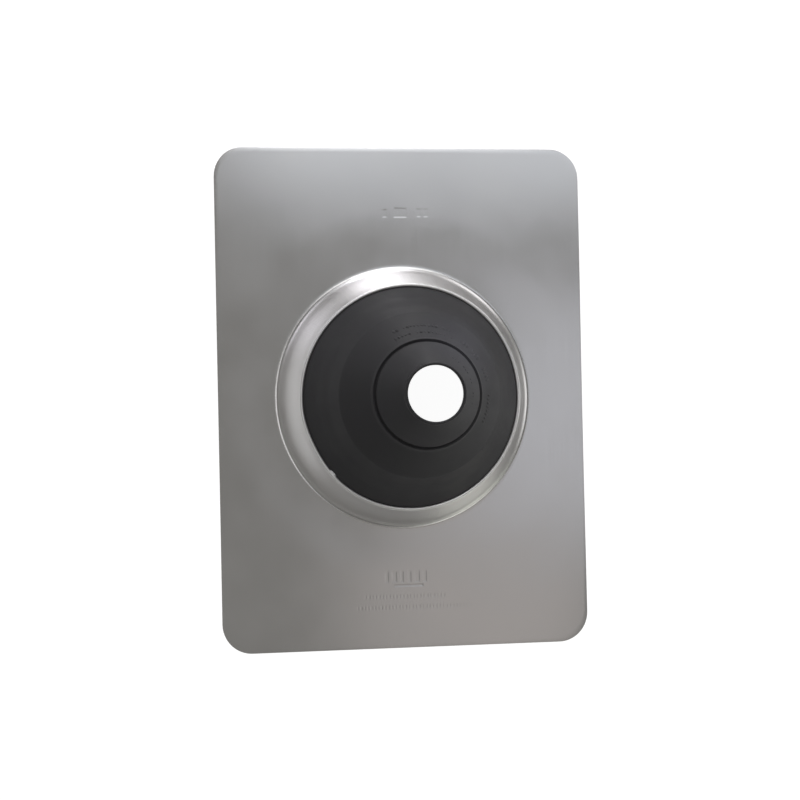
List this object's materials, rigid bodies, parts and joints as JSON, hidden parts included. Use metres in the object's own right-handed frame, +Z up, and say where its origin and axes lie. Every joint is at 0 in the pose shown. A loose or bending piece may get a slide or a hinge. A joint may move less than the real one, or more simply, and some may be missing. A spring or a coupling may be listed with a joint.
{
  "type": "pipe flashing boot",
  "caption": "Flat sheet base with a hemmed riser holding a stepped rubber collar that stretches over a vent pipe and sheds rain on to the roof.",
  "frame": {"origin": "middle of the base sheet's underside, on the pipe's axis", "axes": "+Z up along the pipe, away from the roof; +Y up the roof, along the sheet's length; +X across it"},
  "size_m": [0.2794, 0.3714, 0.09],
  "materials": {
    "base_aluminium": "rolled sheet with a satin mill finish",
    "collar_rubber": "moulded, matt, dark grey"
  },
  "bodies": {
    "root": {"flashing_base": "base_aluminium", "rubber_collar": "collar_rubber"}
  },
  "joints": []
}
